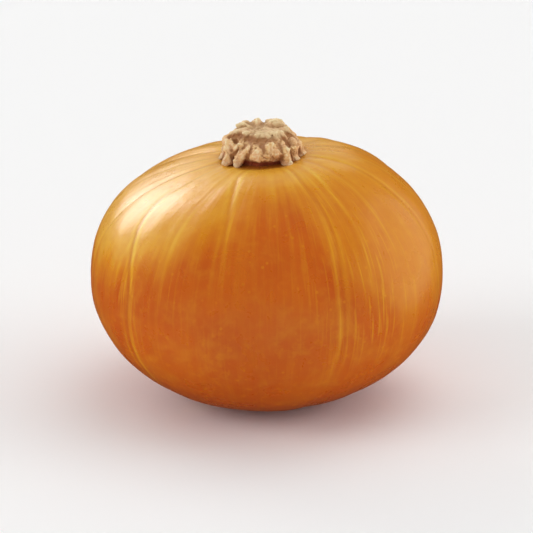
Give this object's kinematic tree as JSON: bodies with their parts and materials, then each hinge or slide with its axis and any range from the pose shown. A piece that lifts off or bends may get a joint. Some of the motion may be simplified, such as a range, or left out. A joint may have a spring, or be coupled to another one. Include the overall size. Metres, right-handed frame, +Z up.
{
  "type": "mini pumpkin",
  "caption": "Small squat orange pumpkin with shallow ribs and a short corky stem stump, resting on a small flat spot.",
  "frame": {"origin": "middle of the underside, on the surface that the pumpkin rests on", "axes": "+Z up through the stem, -Y towards the viewer of the picture, +X to the viewer's right"},
  "size_m": [0.0905, 0.0892, 0.0715],
  "materials": {
    "pumpkin_skin": "waxy satin fruit skin, orange with faint golden lines along the ribs",
    "stem_cork": "dry matt corky stem, tan with grey-green and brown hollows"
  },
  "bodies": {
    "root": {"pumpkin_fruit": "pumpkin_skin", "stem": "stem_cork"}
  },
  "joints": []
}
